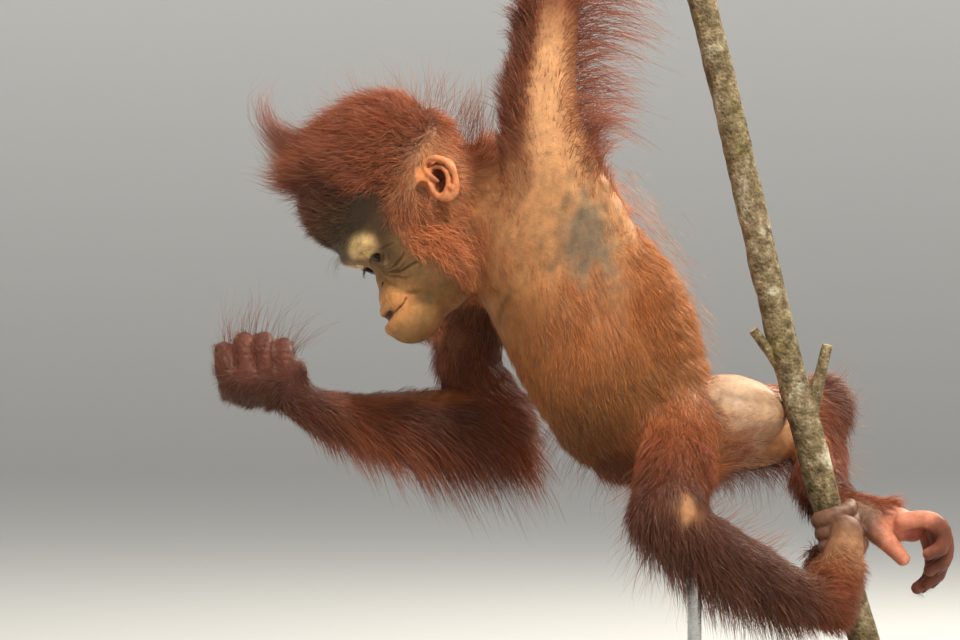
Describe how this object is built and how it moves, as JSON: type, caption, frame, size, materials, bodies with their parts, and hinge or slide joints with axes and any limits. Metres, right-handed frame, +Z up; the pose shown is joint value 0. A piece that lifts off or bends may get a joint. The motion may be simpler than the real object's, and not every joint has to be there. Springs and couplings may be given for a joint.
{
  "type": "young orangutan model",
  "caption": "Life-size still model of a young orangutan that hangs by one arm and one foot from a leaning length of tree trunk, held by a flat base and slim rods.",
  "frame": {"origin": "middle of the underside of the stand's base, on the floor", "axes": "the animal faces -X and its left side is toward -Y; +Z up"},
  "size_m": [0.4824, 0.28, 0.7238],
  "materials": {
    "coat": "long fine hair, dark mahogany on the limbs, gold-orange on the flank and head",
    "bare_skin": "matte wrinkled skin, tan on the muzzle and ears, grey-brown on hands and feet",
    "eye": "wet dark brown iris under a clear cornea",
    "bark": "rough mottled grey-green and brown bark, pale cut ends",
    "stand_wood": "dark satin wood",
    "rod_steel": "brushed"
  },
  "bodies": {
    "root": {"head": "coat", "neck": "coat", "chest": "coat", "belly": "coat", "hips": "coat", "upper_arm_left": "coat", "forearm_left": "coat", "hand_left": "bare_skin", "upper_arm_right": "coat", "forearm_right": "coat", "hand_right": "bare_skin", "thigh_left": "coat", "shank_left": "coat", "foot_left": "bare_skin", "thigh_right": "coat", "shank_right": "coat", "foot_right": "bare_skin", "ear_left": "bare_skin", "ear_right": "bare_skin", "eye_left": "eye", "eye_right": "eye", "perch": "bark", "stand_base": "stand_wood", "stand_rod_perch": "rod_steel", "stand_rod_body": "rod_steel"}
  },
  "joints": []
}
